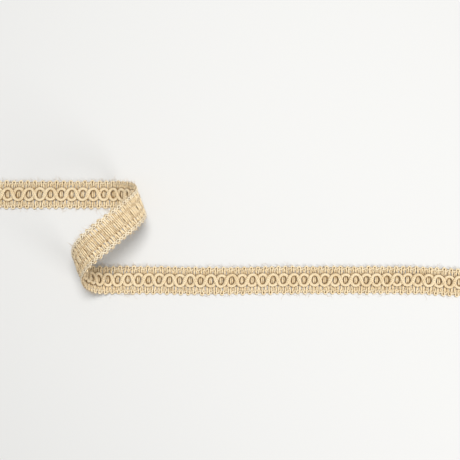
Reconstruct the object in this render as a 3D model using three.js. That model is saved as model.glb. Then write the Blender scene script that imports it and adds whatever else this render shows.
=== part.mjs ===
// Scroll gimp braid trim. A cut length lies face up, rises and turns over in one tall slanting loop,
// then carries on face up. Millimetres, +Z up, both runs lying on z = 0.
// A place on the braid is given by along (from the start of the loop), across (from the middle line
// towards the upper edge) and height (from the back).
import * as THREE from 'three';

// Repeat along the braid
const picotPitch = 3.49;
const stepsPerPicot = 4;
const stepLength = picotPitch / stepsPerPicot;
const stepsPerRing = 6;
const leadRings = 11;
const tailRings = 58;
const firstRingAlong = 1.7;
const picotStep = 1;
const edgeLead = 0.35;

// Cross-section of the ground
const edgeSteps = [
  { halfWidth: 7.5 }, // picot
  { halfWidth: 6.5 }, // dip
  { halfWidth: 6.9 }, // small turn of the other yarn
  { halfWidth: 6.5 }, // dip
];
const edgeHeight = 0.75;
const footInset = 0.5;
const waleAcross = 5.4;
const waleHeight = 1.5;
const channelAcross = 3.9;
const channelHeight = 0.9;
const ringFillRise = 0.4;

// The two wavy cords
const cordWidth = 1.3;
const cordThickness = 1;
const cordSides = 5;
const cordHeight = 1.95;
const crossingLift = 1.3;
const ringHalfWidth = 2.8;
const ringRoundness = 0.075;
const ringAside = 0.15;

// How the length lies
const runOffset = 43.3;
const loopStartX = -64;
const bendHeight = 1;
const loopTurns = [
  { name: 'start', u: 2, z: 0, lean: [1, 0], before: 0, after: 12.5 },
  { name: 'right side', u: 20.5, z: 22, lean: [0, 1], before: 9, after: 13.5 },
  { name: 'top', u: -2.5, z: 41, lean: [-1, 0], before: 9, after: 8.5 },
  { name: 'left side', u: -18, z: 17.5, lean: [0, -1], before: 13, after: 9 },
  { name: 'end', u: -4.5, z: 0, lean: [1, 0], before: 11, after: 0 },
];
const sway = [
  { along: 139, aside: 0 },
  { along: 174, aside: -0.5 },
  { along: 214, aside: 0 },
  { along: 275, aside: 0 },
  { along: 305, aside: -1.4 },
];

// The loop seen along its own axis: four bends between the turns of the table
function handle(turn, reach) {
  return new THREE.Vector2(turn.u + reach * turn.lean[0], turn.z + reach * turn.lean[1]);
}

function makeLoopPath() {
  const path = new THREE.CurvePath();
  for (let i = 1; i < loopTurns.length; i++) {
    const from = loopTurns[i - 1];
    const to = loopTurns[i];
    path.add(new THREE.CubicBezierCurve(
      handle(from, 0), handle(from, from.after), handle(to, -to.before), handle(to, 0),
    ));
  }
  return path;
}

const loopPath = makeLoopPath();
const loopLength = loopPath.getLength();
const loopStart = loopTurns[0];
const loopEnd = loopTurns[loopTurns.length - 1];

// The braid winds round the loop's axis like a ribbon round a rod, so the angle between the two
// follows from how far the lower run lies below the upper one.
const lengthTakenUp = loopLength - (loopEnd.u - loopStart.u);
const axisAngle = Math.acos(runOffset / lengthTakenUp);

function loopPlace(round) {
  if (round <= 0) return { u: loopStart.u + round, z: 0, tangent: new THREE.Vector2(1, 0) };
  if (round >= loopLength) {
    return { u: loopEnd.u + round - loopLength, z: 0, tangent: new THREE.Vector2(1, 0) };
  }
  const share = round / loopLength;
  const point = loopPath.getPoint(share);
  return { u: point.x, z: point.y, tangent: loopPath.getTangent(share) };
}

function swayAt(along) {
  let aside = sway[0].aside;
  for (let i = 1; i < sway.length; i++) {
    const share = THREE.MathUtils.smoothstep(along, sway[i - 1].along, sway[i].along);
    aside += (sway[i].aside - sway[i - 1].aside) * share;
  }
  return aside;
}

// Place on the braid to place in space
function bandPoint(along, across, height) {
  const round = along * Math.sin(axisAngle) + across * Math.cos(axisAngle);
  const slide = along * Math.cos(axisAngle) - across * Math.sin(axisAngle);
  const { u, z, tangent } = loopPlace(round);
  const rise = height - bendHeight;
  const uHere = u - tangent.y * rise - loopStart.u;
  return new THREE.Vector3(
    loopStartX + uHere * Math.sin(axisAngle) + slide * Math.cos(axisAngle),
    uHere * Math.cos(axisAngle) - slide * Math.sin(axisAngle) + swayAt(along),
    z + bendHeight + tangent.x * rise,
  );
}

// Closed solid through a row of sections, each a ring of points
function sweep(sections, capOutline) {
  const sides = capOutline.length;
  const positions = sections.flat().flatMap((point) => point.toArray());
  const lastStart = (sections.length - 1) * sides;
  const index = [];
  for (let start = 0; start < lastStart; start += sides) {
    for (let j = 0; j < sides; j++) {
      const here = start + j;
      const beside = start + (j + 1) % sides;
      index.push(here, beside, beside + sides);
      index.push(here, beside + sides, here + sides);
    }
  }
  for (const [a, b, c] of THREE.ShapeUtils.triangulateShape(capOutline, [])) {
    index.push(a, c, b);
    index.push(lastStart + a, lastStart + b, lastStart + c);
  }
  const geometry = new THREE.BufferGeometry();
  geometry.setAttribute('position', new THREE.Float32BufferAttribute(positions, 3));
  geometry.setIndex(index);
  geometry.computeVertexNormals();
  return geometry;
}

// Outline of the ground at one step, x across and y height
function groundOutline(step) {
  const phase = THREE.MathUtils.euclideanModulo(step - picotStep, stepsPerPicot);
  const { halfWidth } = edgeSteps[phase];
  const ringFill = ringFillRise * Math.cos(Math.PI * step / stepsPerRing) ** 4;
  return [
    new THREE.Vector2(-halfWidth + footInset, 0),
    new THREE.Vector2(halfWidth - footInset, 0),
    new THREE.Vector2(halfWidth, edgeHeight),
    new THREE.Vector2(waleAcross, waleHeight),
    new THREE.Vector2(channelAcross, channelHeight),
    new THREE.Vector2(0, channelHeight + ringFill),
    new THREE.Vector2(-channelAcross, channelHeight),
    new THREE.Vector2(-waleAcross, waleHeight),
    new THREE.Vector2(-halfWidth, edgeHeight),
  ];
}

function makeGround() {
  const sections = [];
  const firstStep = -leadRings * stepsPerRing;
  const lastStep = tailRings * stepsPerRing;
  for (let step = firstStep; step <= lastStep; step++) {
    const along = firstRingAlong + step * stepLength;
    sections.push(groundOutline(step).map((point) => bandPoint(
      along + edgeLead * point.x / edgeSteps[0].halfWidth, point.x, point.y,
    )));
  }
  return sweep(sections, groundOutline(firstStep));
}

// Middle line of a cord at a wave angle of zero in the ring beside the loop's start, in (along,
// across, height). side is 1 or -1, and lift is how far the cord climbs over a crossing.
function cordPlace(angle, side, lift) {
  const ringPitch = stepsPerRing * stepLength;
  return new THREE.Vector3(
    firstRingAlong + ringPitch * (angle / Math.PI + ringRoundness * Math.sin(2 * angle)),
    ringAside + side * ringHalfWidth * Math.cos(angle),
    cordHeight + lift * Math.sin(angle) ** 2,
  );
}

function cordSection(angle, side, lift, outline) {
  const nudge = 0.01;
  const centre = cordPlace(angle, side, lift);
  const ahead = cordPlace(angle + nudge, side, lift).sub(cordPlace(angle - nudge, side, lift));
  const sideways = new THREE.Vector3(0, 0, 1).cross(ahead).normalize();
  const upwards = ahead.clone().cross(sideways).normalize();
  return outline.map((point) => {
    const place = centre.clone();
    place.addScaledVector(sideways, point.x);
    place.addScaledVector(upwards, point.y);
    return bandPoint(place.x, place.y, place.z);
  });
}

function makeCord(side, lift) {
  const outline = [];
  for (let i = 0; i < cordSides; i++) {
    const turn = Math.PI / 2 + 2 * Math.PI * i / cordSides;
    outline.push(new THREE.Vector2(
      Math.cos(turn) * cordWidth / 2, Math.sin(turn) * cordThickness / 2,
    ));
  }
  const sections = [];
  for (let step = -leadRings * stepsPerRing; step <= tailRings * stepsPerRing; step++) {
    sections.push(cordSection(Math.PI * step / stepsPerRing, side, lift, outline));
  }
  return sweep(sections, outline);
}

// Yarn colours
const groundYarn = { color: '#e2cb9e', roughness: 0.95, metalness: 0 };
const cordYarn = { color: '#ead6ad', roughness: 0.9, metalness: 0 };

function addPiece(group, name, geometry, yarn) {
  const mesh = new THREE.Mesh(geometry, new THREE.MeshStandardMaterial(yarn));
  mesh.name = name;
  group.add(mesh);
}

const braid = new THREE.Group();
addPiece(braid, 'ground_band', makeGround(), groundYarn);
addPiece(braid, 'ring_cord_under', makeCord(1, 0), cordYarn);
addPiece(braid, 'ring_cord_over', makeCord(-1, crossingLift), cordYarn);

// The middle of the footprint is the origin
const box = new THREE.Box3().setFromObject(braid);
const centre = box.getCenter(new THREE.Vector3());
braid.position.set(-centre.x, -centre.y, -box.min.z);

export default braid;
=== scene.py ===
"""Scroll gimp braid trim lying in one tall loop: yarns, stitches, wavy cords and stray fibres."""
import math
import random
from collections import namedtuple

import bmesh
import bpy
import numpy as np
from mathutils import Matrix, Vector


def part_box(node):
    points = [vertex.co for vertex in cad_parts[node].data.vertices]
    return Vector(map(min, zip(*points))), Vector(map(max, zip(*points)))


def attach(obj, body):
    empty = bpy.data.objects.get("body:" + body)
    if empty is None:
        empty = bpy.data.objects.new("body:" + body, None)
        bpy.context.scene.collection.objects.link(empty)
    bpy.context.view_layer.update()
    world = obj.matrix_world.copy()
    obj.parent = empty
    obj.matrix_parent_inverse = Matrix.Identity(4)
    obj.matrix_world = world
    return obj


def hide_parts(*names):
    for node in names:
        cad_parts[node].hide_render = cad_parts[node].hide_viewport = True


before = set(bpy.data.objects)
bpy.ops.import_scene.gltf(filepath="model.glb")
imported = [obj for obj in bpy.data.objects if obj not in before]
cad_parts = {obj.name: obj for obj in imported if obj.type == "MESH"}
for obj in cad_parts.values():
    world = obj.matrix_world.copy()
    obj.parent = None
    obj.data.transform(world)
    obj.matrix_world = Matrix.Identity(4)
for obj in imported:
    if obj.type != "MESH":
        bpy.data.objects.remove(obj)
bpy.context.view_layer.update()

MM = 0.001
SAME_PLACE = 0.0005 * MM

# How the braid lies, as in the CAD: two flat runs joined by a ribbon wound once round a slanting
# axis. A place on the braid is along, across and height, in metres. The tables of turns, sways and
# pulls are in millimetres.
Turn = namedtuple("Turn", "u z lean_u lean_z before after")
LOOP_TURNS = (
    Turn(u=2, z=0, lean_u=1, lean_z=0, before=0, after=12.5),
    Turn(u=20.5, z=22, lean_u=0, lean_z=1, before=9, after=13.5),
    Turn(u=-2.5, z=41, lean_u=-1, lean_z=0, before=9, after=8.5),
    Turn(u=-18, z=17.5, lean_u=0, lean_z=-1, before=13, after=9),
    Turn(u=-4.5, z=0, lean_u=1, lean_z=0, before=11, after=0),
)
LOOP_SAMPLES = 240
RUN_OFFSET = 43.3 * MM
LOOP_START_X = -64 * MM
BEND_HEIGHT = 1 * MM
Sway = namedtuple("Sway", "along aside")
SWAY = (
    Sway(along=139, aside=0),
    Sway(along=174, aside=-0.5),
    Sway(along=214, aside=0),
    Sway(along=275, aside=0),
    Sway(along=305, aside=-1.4),
)

# Repeat along the braid
PICOT_PITCH = 3.49 * MM
COURSE = PICOT_PITCH / 2
RING_PITCH = 1.5 * PICOT_PITCH
FIRST_RING = 1.7 * MM
LEAD_RINGS = 11
TAIL_RINGS = 58
FIRST_PICOT = FIRST_RING + PICOT_PITCH / 4
LEAD_PICOTS = 16
TAIL_PICOTS = 86
EDGE_LEAD = 0.35 * MM
TIP = 7.5 * MM
DIP = 6.5 * MM
CUT_START = FIRST_RING - LEAD_RINGS * RING_PITCH
CUT_END = FIRST_RING + TAIL_RINGS * RING_PITCH

# In the photo the upper run is drawn out by about three in a hundred, and the loop by one. Back is
# how far a place on the braid has moved towards the start.
Pull = namedtuple("Pull", "along back")
PULLS = (
    Pull(along=-56, back=3.3),
    Pull(along=0, back=1.4),
    Pull(along=120, back=0),
)

# Weft yarns
WEFT_RADIUS = 0.44 * MM
WEFT_HEIGHT = 0.83 * MM
LOWEST_WEFT = WEFT_RADIUS + 0.01 * MM

# Turns of the weft at the edges: picots, and the small turns between them
PICOT_WAIST = 0.46 * MM
PICOT_HEAD = 0.74 * MM
SMALL_HEAD = 0.34 * MM
TURN_BASE = 5.2 * MM
SMALL_TURN = 6.5 * MM
TURN_STOPS = 6
PICOT_LEAN = 0.2 * MM
PICOT_LIFT_SCATTER = (-0.1 * MM, 0.15 * MM)
TIP_SCATTER = 0.4 * MM

# Legs of the weft from edge to edge. Their gaps open into slits on both sides of the cords, and
# the bars in the middle of a ring stand higher than the bars under a crossing.
LEG_STOPS = 14
LEG_SPARE = 0.02 * MM
LEG_SCATTER_ALONG = 0.05 * MM
LEG_SCATTER_HEIGHT = 0.07 * MM
LEG_CROSSING = 0.4 * MM
WIDEST_SLIT = 0.65
SLIT_ACROSS = 4.2 * MM
SLIT_REACH = 1.1 * MM
RING_MIDDLE = 0.1
RING_BAR_RISE = 0.6 * MM
RING_BAR_REACH = 1.5 * MM
LOW_BAR_DROP = 0.3 * MM
PICOT_LEG_RISE = 0.2 * MM
PICOT_LEG_REACH = 2 * MM
CORD_SHADE = 2.8 * MM

# Thin chain stitches that hold the weft
CHAIN_RADIUS = 0.22 * MM
CHAIN_STEPS = 5
EDGE_CHAIN_ACROSS = 5.6 * MM
EDGE_CHAIN_BACK = 0.25 * MM
MIDDLE_CHAIN_ACROSS = 2.3 * MM
MIDDLE_CHAIN_BACK = 0.6 * MM
CHAIN_FRONT = 0.3 * MM
CHAIN_SPREAD = 0.2 * MM
CHAIN_WANDER = 0.03 * MM
WANDER_KEPT = 0.8

# Rows of thicker chain stitches on the back, near both edges
BACK_CHAIN_RADIUS = 0.23 * MM
BACK_CHAIN_STEPS = 8
BACK_CHAIN_ACROSS = 5.85 * MM
BACK_CHAIN_REACH = 0.58 * MM
BACK_CHAIN_HEIGHT = 0.3 * MM
BACK_CHAIN_SWING = 0.06 * MM
BACK_CHAIN_WANDER = 0.02 * MM

# Wavy cords
PLY_RADIUS = 0.5 * MM
PLY_OFFSET = 0.25 * MM
PLY_PITCH = 3.4 * MM
PLIES = 3
CORD_HEIGHT = 1.85 * MM
RING_HALF_WIDTH = 2.8 * MM
RING_ROUNDNESS = 0.075
RING_ASIDE = 0.15 * MM
RING_STEPS = 24
RING_WIDTH_SCATTER = 0.05
RING_DRIFT = 0.16 * MM
CORD_STEP = 0.3 * MM
OVER_CORD_LIFT = 0.62 * MM
UNDER_CORD_LIFT = -0.3 * MM
CROSSING_FLATTENING = 1.3

# Loose hairs. Curls and headings are in radians. Climb is a hair's slope at its root, and droop is
# how much that slope changes over its length.
FIBRE_RADIUS = 0.03 * MM
FIBRE_COUNT = 1700
FIBRE_STEPS = 7
FIBRE_USUAL_LENGTH = 0.9 * MM
FIBRE_EXTRA_LENGTH = 0.4 * MM
LONGEST_FIBRE = 3.2 * MM
LOOP_FIBRE_SHARE = 0.55
LOOP_FIBRE_MARGIN = 8 * MM
FIBRE_ROOT_ACROSS = (5.8 * MM, 7.3 * MM)
FIBRE_ROOT_HEIGHT = (0.3 * MM, 1.1 * MM)
FIBRE_HEADING_SCATTER = 0.7
FUZZ_RADIUS = 0.02 * MM
FUZZ_COUNT = 2400
FUZZ_STEPS = 4
FUZZ_LENGTH = (0.5 * MM, 1.6 * MM)
FUZZ_ACROSS = 7 * MM
FUZZ_ON_BACK = 0.3 * MM
FUZZ_ON_WEFT = 1.2 * MM
FUZZ_ON_STITCHES = 1.3 * MM
FUZZ_ON_CORDS = 2 * MM
CORDS_EDGE = 3.4 * MM
HAIR_CURL = 3.5
HAIR_CLIMB = (-0.25, 0.6)
HAIR_DROOP = (-1.4, 0.8)
LOWEST_HAIR = 0.05 * MM

# Colours
# Each wool has a light and a deep colour; the deep one shows in random blotches and as painted shade in
# the grooves between plies
CREAM = (0.99, 0.85, 0.59)
DEEP_CREAM = (0.72, 0.5, 0.23)
PALE_CREAM = (1.0, 0.92, 0.72)
DEEP_PALE_CREAM = (0.85, 0.66, 0.4)
CORD_CREAM = (0.91, 0.77, 0.53)
DEEP_CORD_CREAM = (0.7, 0.5, 0.25)
TAN = (0.8, 0.62, 0.38)
DEEP_TAN = (0.5, 0.34, 0.17)
# Painted shade: brown mixed into the wool where ambient occlusion finds a recess
RECESS_SHADE_BROWN = (0.28, 0.14, 0.025)
CUT_END_CREAM = (0.82, 0.66, 0.42)
FIBRE_BROWN = (0.6, 0.44, 0.26)
PALE_GREY = (0.72, 0.72, 0.71)

# Fine fibres along a yarn: noise scale and detail, and how its pattern is drawn out
FIBRE_NOISE = (1.6, 4.0)
FIBRES_ALONG = 1.6
FIBRES_AROUND = 9.0

# Broad and fine blotches as noise scale and detail, the noise values at which the deep colour starts
# and is full, and how much of it shows there
BLOTCHES = ((180.0, 2.0), (1500.0, 3.0))
BLOTCH_START = 0.4
BLOTCH_FULL = 0.62
BLOTCH_STRENGTH = 0.6

# Painted shade in recesses: how far round a place is looked at, and how open an unshaded and a fully
# shaded place are
RECESS_REACH = 1.15 * MM
RECESS_SAMPLES = 8
UNSHADED_OPENNESS = 0.9
FULL_SHADE_OPENNESS = 0.35

# Photo
CAMERA_DISTANCE = 351 * MM
SENSOR_WIDTH = 36
PHOTO_PIXELS = 460
PIXEL_WIDTH = 0.508 * MM
PHOTO_MIDDLE_Y = -17.93 * MM

# Studio
FLOOR_HALF_WIDTH = 8
LIGHT_AIM = (0, 0, 0.01)


def bend_points(start, end):
    """One bend of the loop's path between two turns, as rows of u and z."""
    share = np.linspace(0, 1, LOOP_SAMPLES)[:, None]
    first = np.array([start.u, start.z], float)
    last = np.array([end.u, end.z], float)
    leave = first + start.after * np.array([start.lean_u, start.lean_z])
    arrive = last - end.before * np.array([end.lean_u, end.lean_z])
    rest = 1 - share
    return rest**3 * first + 3 * rest**2 * share * leave + 3 * rest * share**2 * arrive + share**3 * last


def loop_table():
    """Distance round the loop, and u and z there, in metres."""
    bends = [bend_points(a, b) for a, b in zip(LOOP_TURNS, LOOP_TURNS[1:])]
    path = np.vstack([bends[0]] + [bend[1:] for bend in bends[1:]]) * MM
    pieces = np.hypot(*np.diff(path, axis=0).T)
    return np.concatenate([[0], np.cumsum(pieces)]), path[:, 0], path[:, 1]


LOOP_ROUND, LOOP_U, LOOP_Z = loop_table()
LOOP_LENGTH = LOOP_ROUND[-1]
LOOP_LEAN_U = np.gradient(LOOP_U, LOOP_ROUND)
LOOP_LEAN_Z = np.gradient(LOOP_Z, LOOP_ROUND)
TAKEN_UP = LOOP_LENGTH - (LOOP_U[-1] - LOOP_U[0])
AXIS_ANGLE = math.acos(RUN_OFFSET / TAKEN_UP)
AXIS_SIN = math.sin(AXIS_ANGLE)
AXIS_COS = math.cos(AXIS_ANGLE)

# The CAD puts the middle of the footprint at the origin. Its cut end and its upper picots show where
# this layout lies in that frame.
ground_low, ground_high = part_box("ground_band")
SHIFT_X = ground_low[0] - (LOOP_START_X + CUT_START - EDGE_LEAD * DIP / TIP)
SHIFT_Y = ground_high[1] - TIP


def smooth_step(value, low, high):
    share = np.clip((value - low) / (high - low), 0, 1)
    return share * share * (3 - 2 * share)


def sway_at(along):
    """How far the runs stray from straight lines, towards the upper run."""
    aside = np.zeros_like(along)
    for before, after in zip(SWAY, SWAY[1:]):
        share = smooth_step(along, before.along * MM, after.along * MM)
        aside = aside + (after.aside - before.aside) * MM * share
    return aside


def band_points(along, across, height):
    """Places on the braid as rows of x, y and z in the frame."""
    along = along + EDGE_LEAD * across / TIP
    round_loop = along * AXIS_SIN + across * AXIS_COS
    slide = along * AXIS_COS - across * AXIS_SIN
    inside = np.clip(round_loop, 0, LOOP_LENGTH)
    u = np.interp(inside, LOOP_ROUND, LOOP_U) - LOOP_U[0] + (round_loop - inside)
    z = np.interp(inside, LOOP_ROUND, LOOP_Z)
    lean_u = np.interp(inside, LOOP_ROUND, LOOP_LEAN_U)
    lean_z = np.interp(inside, LOOP_ROUND, LOOP_LEAN_Z)
    rise = height - BEND_HEIGHT
    u = u - lean_z * rise
    return np.stack([
        SHIFT_X + LOOP_START_X + u * AXIS_SIN + slide * AXIS_COS,
        SHIFT_Y + u * AXIS_COS - slide * AXIS_SIN + sway_at(along),
        z + BEND_HEIGHT + lean_u * rise,
    ], axis=1)


def strand_points(places):
    """Rows of along, across and height as rows of x, y and z."""
    places = np.asarray(places, float)
    return band_points(places[:, 0], places[:, 1], places[:, 2])


def yarn_piece(name, strands, radius, sides, material):
    """A mesh of round yarns along the strands. The UV map holds millimetres along and turns around."""
    curve = bpy.data.curves.new(name, "CURVE")
    curve.dimensions = "3D"
    curve.bevel_depth = radius
    curve.bevel_resolution = (sides - 4) // 2
    curve.use_fill_caps = True
    for points in strands:
        spline = curve.splines.new("POLY")
        spline.points.add(len(points) - 1)
        spline.points.foreach_set("co", np.column_stack([points, np.ones(len(points))]).ravel())
        spline.use_smooth = True
    helper = bpy.data.objects.new(name + "_path", curve)
    bpy.context.scene.collection.objects.link(helper)
    mesh = bpy.data.meshes.new_from_object(
        helper.evaluated_get(bpy.context.evaluated_depsgraph_get())
    )
    bpy.data.objects.remove(helper)
    lengths = [np.linalg.norm(np.diff(points, axis=0), axis=1).sum() for points in strands]
    scale_uv(mesh, float(np.mean(lengths)) / MM)
    close_caps(mesh)
    mesh.name = name
    mesh.materials.clear()
    mesh.materials.append(material)
    mesh.materials.append(CUT_ENDS)
    piece = bpy.data.objects.new(name, mesh)
    bpy.context.scene.collection.objects.link(piece)
    return piece


def scale_uv(mesh, length):
    """Stretches the map that the curve gave, from shares of the length to millimetres."""
    layer = mesh.uv_layers[0]
    layer.name = "yarn"
    values = np.empty(2 * len(layer.uv), np.float32)
    layer.uv.foreach_get("vector", values)
    values[0::2] *= length
    layer.uv.foreach_set("vector", values)


def close_caps(mesh):
    """Joins the flat ends to their yarns. Only the ends have three-cornered faces."""
    work = bmesh.new()
    work.from_mesh(mesh)
    bmesh.ops.remove_doubles(work, verts=work.verts, dist=SAME_PLACE)
    bmesh.ops.recalc_face_normals(work, faces=work.faces)
    for face in work.faces:
        is_end = len(face.verts) == 3
        face.smooth = not is_end
        face.material_index = 1 if is_end else 0
    work.to_mesh(mesh)
    work.free()


def gauss(value, middle, spread):
    """A bell that is one at the middle."""
    return math.exp(-(((value - middle) / spread) ** 2))


def weft_places(side, luck):
    """One weft yarn, back and forth over the whole length. side is the edge of its picots."""
    places = []

    def turn(centre, edge, picot):
        lean = luck.uniform(-PICOT_LEAN, PICOT_LEAN) if picot else 0
        reach = (TIP if picot else SMALL_TURN) - luck.uniform(0, TIP_SCATTER) - WEFT_RADIUS
        head = PICOT_HEAD if picot else SMALL_HEAD
        lift = PICOT_LEG_RISE + luck.uniform(*PICOT_LIFT_SCATTER) if picot else -PICOT_LEG_RISE
        middle = reach - head
        places.append((centre - PICOT_WAIST, edge * TURN_BASE, WEFT_HEIGHT + lift))
        for step in range(TURN_STOPS + 1):
            angle = math.pi * (1 - step / TURN_STOPS)
            places.append((
                centre + head * math.cos(angle) + lean,
                edge * (middle + head * math.sin(angle)),
                WEFT_HEIGHT + lift,
            ))
        places.append((centre + PICOT_WAIST, edge * TURN_BASE, WEFT_HEIGHT + lift))

    def leg(course, start_edge, lean):
        nudge = luck.gauss(0, LEG_SCATTER_ALONG)
        rise = luck.gauss(0, LEG_SCATTER_HEIGHT)
        slit = WIDEST_SLIT * luck.random() ** 2
        ring = (course - FIRST_RING) / RING_PITCH
        bulge = RING_BAR_RISE if abs(ring - round(ring)) < RING_MIDDLE else -LOW_BAR_DROP
        for stop in range(1, LEG_STOPS):
            across = start_edge * TURN_BASE * (1 - 2 * stop / LEG_STOPS)
            beside = COURSE / 2 - PICOT_WAIST + LEG_SPARE
            beside *= 1 - slit * gauss(abs(across), SLIT_ACROSS, SLIT_REACH)
            swap = math.tanh(side * (across + CORD_SHADE) / LEG_CROSSING)
            near_edge = gauss(abs(across), TURN_BASE, PICOT_LEG_REACH)
            layer = PICOT_LEG_RISE * math.tanh(side * across / MM) * near_edge
            height = WEFT_HEIGHT + rise + layer + bulge * gauss(across, 0, RING_BAR_REACH)
            places.append((
                course + lean * beside * swap + nudge,
                across,
                max(height, LOWEST_WEFT),
            ))

    for picot in range(-LEAD_PICOTS, TAIL_PICOTS + 1):
        centre = FIRST_PICOT + picot * PICOT_PITCH
        turn(centre, side, True)
        leg(centre + COURSE / 2, side, -1)
        turn(centre + COURSE, -side, False)
        leg(centre + 3 * COURSE / 2, -side, 1)
    return places


def laid_strand(places):
    """A strand's places pulled as in the photo and cut off at both ends, as rows of x, y and z."""
    places = np.array(places, float)
    marks = [pull.along * MM for pull in PULLS]
    places[:, 0] -= np.interp(places[:, 0], marks, [pull.back * MM for pull in PULLS])
    kept = (places[:, 0] >= CUT_START) & (places[:, 0] <= CUT_END)
    return strand_points(places[kept])


def chain_steps(steps_per_course):
    """Even places along the whole length, so many to a course, in metres."""
    count = int((CUT_END - CUT_START) / COURSE * steps_per_course)
    return [CUT_START + step * COURSE / steps_per_course for step in range(count + 1)]


def course_angle(along):
    """Half a turn for each course, from the middle of the first ring on."""
    return math.pi * (along - FIRST_RING) / COURSE


def chain_rows(row_across, back, luck):
    """Two threads on each side of the middle, each over one bar of weft and under the next."""
    strands = []
    for side in (1, -1):
        for phase in (0, math.pi):
            places = []
            wander = 0.0
            for along in chain_steps(CHAIN_STEPS):
                swing = math.cos(course_angle(along) + phase)
                wander = WANDER_KEPT * wander + luck.gauss(0, CHAIN_WANDER)
                places.append((
                    along,
                    side * row_across + CHAIN_SPREAD * math.cos(phase) + wander,
                    WEFT_HEIGHT + swing * (CHAIN_FRONT if swing > 0 else back),
                ))
            strands.append(laid_strand(places))
    return strands


def back_chain_rows(luck):
    """Two threads for each edge that cross once in every course and open into stitches between."""
    strands = []
    for side in (1, -1):
        for phase in (0, math.pi):
            places = []
            for along in chain_steps(BACK_CHAIN_STEPS):
                turn = course_angle(along) + phase
                reach = BACK_CHAIN_REACH * math.sin(turn) + luck.gauss(0, BACK_CHAIN_WANDER)
                places.append((
                    along,
                    side * (BACK_CHAIN_ACROSS + reach),
                    BACK_CHAIN_HEIGHT + BACK_CHAIN_SWING * math.cos(turn),
                ))
            strands.append(laid_strand(places))
    return strands


def cord_middle(side, luck):
    """Distances along a wavy cord, its middle line there, and how near a crossing each place is."""
    rings = LEAD_RINGS + TAIL_RINGS
    width = [1 + luck.uniform(-RING_WIDTH_SCATTER, RING_WIDTH_SCATTER) for _ in range(rings + 1)]
    drift = [luck.uniform(-RING_DRIFT, RING_DRIFT) for _ in range(rings + 1)]
    turns = np.linspace(-LEAD_RINGS, TAIL_RINGS, rings * RING_STEPS + 1)
    ring = np.arange(-LEAD_RINGS, TAIL_RINGS + 1)
    angle = turns * math.pi
    along = FIRST_RING + RING_PITCH * (turns + RING_ROUNDNESS * np.sin(2 * angle))
    along = along + np.interp(turns, ring, drift) * smooth_ends(turns)
    across = RING_ASIDE + side * RING_HALF_WIDTH * np.cos(angle) * np.interp(turns, ring, width)
    crossing = np.sin(angle) ** 4
    lift = OVER_CORD_LIFT if side < 0 else UNDER_CORD_LIFT
    height = CORD_HEIGHT + lift * crossing
    middle = np.column_stack([along, across, height])
    pieces = np.linalg.norm(np.diff(middle, axis=0), axis=1)
    travelled = np.concatenate([[0], np.cumsum(pieces)])
    even = np.linspace(0, travelled[-1], int(travelled[-1] / CORD_STEP))
    even_middle = np.column_stack([np.interp(even, travelled, middle[:, i]) for i in range(3)])
    return even, even_middle, np.interp(even, travelled, crossing)


def smooth_ends(turns):
    """One along the cord, falling to zero over the last ring at both ends."""
    return np.clip(np.minimum(turns + LEAD_RINGS, TAIL_RINGS - turns), 0, 1)


def cord_plies(side, luck):
    """The twisted plies of a wavy cord."""
    even, middle, crossing = cord_middle(side, luck)
    width = 1 + CROSSING_FLATTENING * crossing
    ahead = np.gradient(middle, even, axis=0)
    sideways = np.column_stack([-ahead[:, 1], ahead[:, 0], np.zeros(len(even))])
    sideways /= np.linalg.norm(sideways, axis=1)[:, None]
    upwards = np.cross(ahead, sideways)
    upwards /= np.linalg.norm(upwards, axis=1)[:, None]
    strands = []
    for ply in range(PLIES):
        turn = 2 * math.pi * (even / PLY_PITCH + ply / PLIES)
        places = middle + PLY_OFFSET * (
            (width * np.cos(turn))[:, None] * sideways + np.sin(turn)[:, None] * upwards
        )
        strands.append(laid_strand(places))
    return strands


def group_socket(tree, name, kind, output=False, value=None):
    socket = tree.interface.new_socket(
        name=name, in_out="OUTPUT" if output else "INPUT", socket_type=kind
    )
    if value is not None:
        socket.default_value = value
    return socket


def math_node(tree, operation, *values):
    node = tree.nodes.new("ShaderNodeMath")
    node.operation = operation
    for socket, value in zip(node.inputs, values):
        if isinstance(value, (int, float)):
            socket.default_value = value
        else:
            tree.links.new(value, socket)
    return node.outputs[0]


def noise_node(tree, vector, scale, detail):
    node = tree.nodes.new("ShaderNodeTexNoise")
    node.inputs["Scale"].default_value = scale
    node.inputs["Detail"].default_value = detail
    tree.links.new(vector, node.inputs["Vector"])
    return node.outputs["Fac"]


def range_node(tree, value, start, full):
    """Zero where the value is at the start, one where it is full."""
    node = tree.nodes.new("ShaderNodeMapRange")
    node.inputs["From Min"].default_value = start
    node.inputs["From Max"].default_value = full
    tree.links.new(value, node.inputs["Value"])
    return node.outputs[0]


def mix_node(tree, share, first, second):
    """The first colour, turning into the second with the share."""
    node = tree.nodes.new("ShaderNodeMix")
    node.data_type = "RGBA"
    tree.links.new(share, node.inputs[0])
    tree.links.new(first, node.inputs[6])
    tree.links.new(second, node.inputs[7])
    return node.outputs[2]


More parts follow.
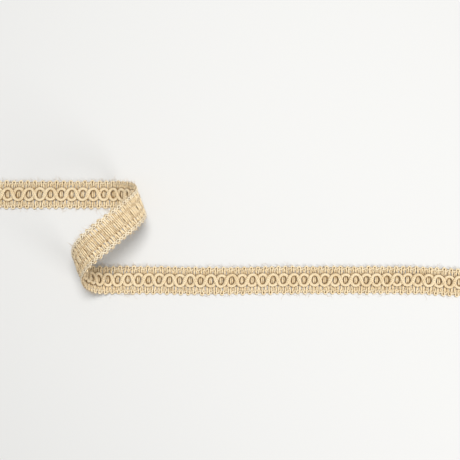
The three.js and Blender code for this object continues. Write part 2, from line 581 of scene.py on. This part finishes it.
def make_twist_group():
    """Yarn plies winding round a strand, with fine fibres along them and a mask of the grooves between
    plies for painted shade, from the yarn's UV map.
    """
    tree = bpy.data.node_groups.new("Twisted yarn", "ShaderNodeTree")
    group_socket(tree, "Plies", "NodeSocketFloat", value=2.0)
    group_socket(tree, "Turn length mm", "NodeSocketFloat", value=1.6)
    group_socket(tree, "Fibres", "NodeSocketFloat", value=0.8)
    group_socket(tree, "Height", "NodeSocketFloat", output=True)
    group_socket(tree, "Groove", "NodeSocketFloat", output=True)
    given = tree.nodes.new("NodeGroupInput")
    result = tree.nodes.new("NodeGroupOutput")
    uv = tree.nodes.new("ShaderNodeUVMap")
    uv.uv_map = "yarn"
    split = tree.nodes.new("ShaderNodeSeparateXYZ")
    tree.links.new(uv.outputs["UV"], split.inputs[0])
    around = math_node(tree, "MULTIPLY", split.outputs["Y"], given.outputs["Plies"])
    along = math_node(tree, "DIVIDE", split.outputs["X"], given.outputs["Turn length mm"])
    turns = math_node(tree, "ADD", around, along)
    wave = math_node(tree, "COSINE", math_node(tree, "MULTIPLY", turns, 2 * math.pi))
    ply = math_node(tree, "MULTIPLY_ADD", wave, 0.5, 0.5)
    stretched = tree.nodes.new("ShaderNodeCombineXYZ")
    tree.links.new(math_node(tree, "MULTIPLY", split.outputs["X"], FIBRES_ALONG), stretched.inputs["X"])
    tree.links.new(math_node(tree, "MULTIPLY", turns, FIBRES_AROUND), stretched.inputs["Y"])
    noise = noise_node(tree, stretched.outputs[0], *FIBRE_NOISE)
    fibre = math_node(tree, "MULTIPLY", noise, given.outputs["Fibres"])
    tree.links.new(math_node(tree, "ADD", ply, fibre), result.inputs["Height"])
    # Groove is a mask for painted shade between the plies
    tree.links.new(math_node(tree, "SUBTRACT", 1.0, ply), result.inputs["Groove"])
    return tree


def make_colour_group():
    """Uneven wool colour: broad and fine blotches, with painted shade in the grooves between plies and
    in recesses.
    """
    tree = bpy.data.node_groups.new("Uneven wool with painted shade", "ShaderNodeTree")
    group_socket(tree, "Light", "NodeSocketColor")
    group_socket(tree, "Deep", "NodeSocketColor")
    group_socket(tree, "Recess shade", "NodeSocketColor", value=(*RECESS_SHADE_BROWN, 1))
    group_socket(tree, "Openness", "NodeSocketFloat", value=1.0)
    group_socket(tree, "Groove", "NodeSocketFloat")
    group_socket(tree, "Groove shade strength", "NodeSocketFloat", value=0.4)
    group_socket(tree, "Colour", "NodeSocketColor", output=True)
    given = tree.nodes.new("NodeGroupInput")
    result = tree.nodes.new("NodeGroupOutput")
    place = tree.nodes.new("ShaderNodeTexCoord")
    broad, fine = (noise_node(tree, place.outputs["Object"], *blotch) for blotch in BLOTCHES)
    both = math_node(tree, "MULTIPLY", math_node(tree, "ADD", broad, fine), 0.5)
    spread = range_node(tree, both, BLOTCH_START, BLOTCH_FULL)
    blotch = math_node(tree, "MULTIPLY", spread, BLOTCH_STRENGTH)
    # Painted shade in the grooves between plies
    groove_shade = math_node(tree, "MULTIPLY", given.outputs["Groove"], given.outputs["Groove shade strength"])
    share = math_node(tree, "MAXIMUM", blotch, groove_shade)
    before_recess_shade = mix_node(tree, share, given.outputs["Light"], given.outputs["Deep"])
    # Painted shade: the wool turns brown where the ambient occlusion finds it closed in
    recess_shade_share = range_node(tree, given.outputs["Openness"], UNSHADED_OPENNESS, FULL_SHADE_OPENNESS)
    with_recess_shade = mix_node(tree, recess_shade_share, before_recess_shade, given.outputs["Recess shade"])
    tree.links.new(with_recess_shade, result.inputs["Colour"])
    return tree


def yarn_material(name, light, deep, plies, turn_length, bump, groove_shade):
    """Matt wool in a light and a deep colour, with painted shade in the grooves between plies and in
    recesses. turn_length is in millimetres, bump in metres.
    """
    material = bpy.data.materials.new(name)
    material.use_nodes = True
    tree = material.node_tree
    shader = tree.nodes["Principled BSDF"]
    shader.inputs["Roughness"].default_value = 0.85
    shader.inputs["Specular IOR Level"].default_value = 0.2
    shader.inputs["Sheen Weight"].default_value = 0.35
    shader.inputs["Sheen Roughness"].default_value = 0.5
    twist = tree.nodes.new("ShaderNodeGroup")
    twist.node_tree = TWIST
    twist.inputs["Plies"].default_value = plies
    twist.inputs["Turn length mm"].default_value = turn_length
    colour = tree.nodes.new("ShaderNodeGroup")
    colour.node_tree = COLOUR
    colour.inputs["Light"].default_value = (*light, 1)
    colour.inputs["Deep"].default_value = (*deep, 1)
    colour.inputs["Groove shade strength"].default_value = groove_shade
    tree.links.new(twist.outputs["Groove"], colour.inputs["Groove"])
    # Ambient occlusion drives the painted recess shade
    openness = tree.nodes.new("ShaderNodeAmbientOcclusion")
    openness.samples = RECESS_SAMPLES
    openness.inputs["Distance"].default_value = RECESS_REACH
    tree.links.new(openness.outputs["AO"], colour.inputs["Openness"])
    tree.links.new(colour.outputs["Colour"], shader.inputs["Base Color"])
    relief = tree.nodes.new("ShaderNodeBump")
    relief.inputs["Strength"].default_value = 1.0
    relief.inputs["Distance"].default_value = bump
    tree.links.new(twist.outputs["Height"], relief.inputs["Height"])
    tree.links.new(relief.outputs["Normal"], shader.inputs["Normal"])
    return material


def plain_material(name, colour, roughness):
    material = bpy.data.materials.new(name)
    material.use_nodes = True
    shader = material.node_tree.nodes["Principled BSDF"]
    shader.inputs["Base Color"].default_value = (*colour, 1)
    shader.inputs["Roughness"].default_value = roughness
    return material


def hair_points(along, across, height, heading, length, steps, luck):
    """A curling hair that leaves the braid at a place, heading outward in the braid's own surface."""
    places = []
    curl = luck.uniform(-HAIR_CURL, HAIR_CURL) / steps
    climb = luck.uniform(*HAIR_CLIMB)
    for step in range(steps + 1):
        places.append((along, across, height))
        along += length / steps * math.cos(heading)
        across += length / steps * math.sin(heading)
        height += length / steps * climb
        heading += curl
        climb += luck.uniform(*HAIR_DROOP) / steps
    points = strand_points(places)
    points[:, 2] = np.maximum(points[:, 2], LOWEST_HAIR)
    return points


def stray_fibres(luck):
    """Hairs that stand out from both edges, most of them round the loop."""
    loop_end = LOOP_LENGTH / AXIS_SIN
    strands = []
    for _ in range(FIBRE_COUNT):
        if luck.random() < LOOP_FIBRE_SHARE:
            along = luck.uniform(-LOOP_FIBRE_MARGIN, loop_end + LOOP_FIBRE_MARGIN)
        else:
            along = luck.uniform(CUT_START, CUT_END)
        side = luck.choice((-1, 1))
        across = side * luck.uniform(*FIBRE_ROOT_ACROSS)
        heading = side * math.pi / 2 + luck.gauss(0, FIBRE_HEADING_SCATTER)
        length = min(luck.expovariate(1 / FIBRE_USUAL_LENGTH), LONGEST_FIBRE) + FIBRE_EXTRA_LENGTH
        height = luck.uniform(*FIBRE_ROOT_HEIGHT)
        strands.append(hair_points(along, across, height, heading, length, FIBRE_STEPS, luck))
    return strands


def surface_fuzz(luck):
    """Short hairs that lift off both faces."""
    strands = []
    for _ in range(FUZZ_COUNT):
        along = luck.uniform(CUT_START, CUT_END)
        across = luck.uniform(-FUZZ_ACROSS, FUZZ_ACROSS)
        highest = FUZZ_ON_CORDS if abs(across) < CORDS_EDGE else FUZZ_ON_STITCHES
        height = luck.choice((FUZZ_ON_BACK, FUZZ_ON_WEFT, highest))
        heading = luck.uniform(0, 2 * math.pi)
        length = luck.uniform(*FUZZ_LENGTH)
        strands.append(hair_points(along, across, height, heading, length, FUZZ_STEPS, luck))
    return strands


def make_camera():
    """Straight down over the middle of the photo, as far off as makes the loop's top look as large."""
    data = bpy.data.cameras.new("camera")
    data.sensor_width = SENSOR_WIDTH
    data.lens = SENSOR_WIDTH * CAMERA_DISTANCE / (PHOTO_PIXELS * PIXEL_WIDTH)
    data.clip_start = 0.01
    camera = bpy.data.objects.new("camera", data)
    camera.location = (SHIFT_X, SHIFT_Y + PHOTO_MIDDLE_Y, CAMERA_DISTANCE)
    bpy.context.scene.collection.objects.link(camera)
    bpy.context.scene.camera = camera


def add_light(name, place, size, power):
    """A round soft light that faces the braid."""
    data = bpy.data.lights.new(name, "AREA")
    data.shape = "DISK"
    data.size = size
    data.energy = power
    light = bpy.data.objects.new(name, data)
    light.location = place
    direction = np.array(LIGHT_AIM, float) - np.array(place, float)
    flat = math.hypot(direction[0], direction[1])
    light.rotation_euler = (math.atan2(flat, -direction[2]), 0, math.atan2(-direction[0], direction[1]))
    bpy.context.scene.collection.objects.link(light)


def make_studio():
    """Pale floor, even surroundings, a main light from above and a weaker one from the lower right."""
    mesh = bpy.data.meshes.new("floor")
    work = bmesh.new()
    bmesh.ops.create_grid(work, x_segments=1, y_segments=1, size=FLOOR_HALF_WIDTH)
    work.to_mesh(mesh)
    work.free()
    mesh.materials.append(plain_material("pale_floor", PALE_GREY, roughness=0.9))
    floor = bpy.data.objects.new("floor", mesh)
    bpy.context.scene.collection.objects.link(floor)
    world = bpy.data.worlds.new("studio")
    world.use_nodes = True
    world.node_tree.nodes["Background"].inputs["Color"].default_value = (1, 0.99, 0.97, 1)
    world.node_tree.nodes["Background"].inputs["Strength"].default_value = 0.36
    bpy.context.scene.world = world
    bpy.context.scene.view_settings.view_transform = "Standard"
    add_light("key", place=(0.05, 0.18, 0.77), size=0.22, power=4.7)
    add_light("fill", place=(0.42, -0.38, 0.4), size=0.35, power=1.6)


make_camera()

CUT_ENDS = plain_material("cut_ends", CUT_END_CREAM, roughness=0.95)
TWIST = make_twist_group()
COLOUR = make_colour_group()
weft_wool = yarn_material(
    "weft_wool", CREAM, DEEP_CREAM, plies=2, turn_length=1.7, bump=0.16 * MM, groove_shade=0.5
)
chain_thread = yarn_material(
    "chain_thread", PALE_CREAM, DEEP_PALE_CREAM, plies=2, turn_length=1.1, bump=0.06 * MM, groove_shade=0.35
)
tan_thread = yarn_material(
    "tan_thread", TAN, DEEP_TAN, plies=2, turn_length=1.1, bump=0.06 * MM, groove_shade=0.5
)
cord_wool = yarn_material(
    "cord_wool", CORD_CREAM, DEEP_CORD_CREAM, plies=5, turn_length=2.2, bump=0.07 * MM, groove_shade=0.35
)
fibre_wool = plain_material("fibre_wool", FIBRE_BROWN, roughness=0.8)

weft_luck = random.Random(11)
weft_strands = [laid_strand(weft_places(side, weft_luck)) for side in (1, -1)]
weft = yarn_piece("weft_yarns", weft_strands, WEFT_RADIUS, sides=8, material=weft_wool)

chain_luck = random.Random(23)
edge_strands = chain_rows(EDGE_CHAIN_ACROSS, EDGE_CHAIN_BACK, chain_luck)
edge_chains = yarn_piece("edge_chains", edge_strands, CHAIN_RADIUS, sides=6, material=chain_thread)
middle_strands = chain_rows(MIDDLE_CHAIN_ACROSS, MIDDLE_CHAIN_BACK, chain_luck)
middle_chains = yarn_piece("middle_chains", middle_strands, CHAIN_RADIUS, sides=6, material=tan_thread)
back_strands = back_chain_rows(chain_luck)
back_chains = yarn_piece("back_chains", back_strands, BACK_CHAIN_RADIUS, sides=6, material=chain_thread)

cord_luck = random.Random(5)
under_plies = cord_plies(1, cord_luck)
cord_under = yarn_piece("wavy_cord_under", under_plies, PLY_RADIUS, sides=10, material=cord_wool)
over_plies = cord_plies(-1, cord_luck)
cord_over = yarn_piece("wavy_cord_over", over_plies, PLY_RADIUS, sides=10, material=cord_wool)

fibre_luck = random.Random(31)
fibre_strands = stray_fibres(fibre_luck)
fibres = yarn_piece("stray_fibres", fibre_strands, FIBRE_RADIUS, sides=4, material=fibre_wool)
fuzz_strands = surface_fuzz(fibre_luck)
fuzz = yarn_piece("surface_fuzz", fuzz_strands, FUZZ_RADIUS, sides=4, material=weft_wool)

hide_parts("ground_band")
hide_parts("ring_cord_under")
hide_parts("ring_cord_over")
for piece in (weft, edge_chains, middle_chains, back_chains, cord_under, cord_over, fibres, fuzz):
    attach(piece, "root")

make_studio()
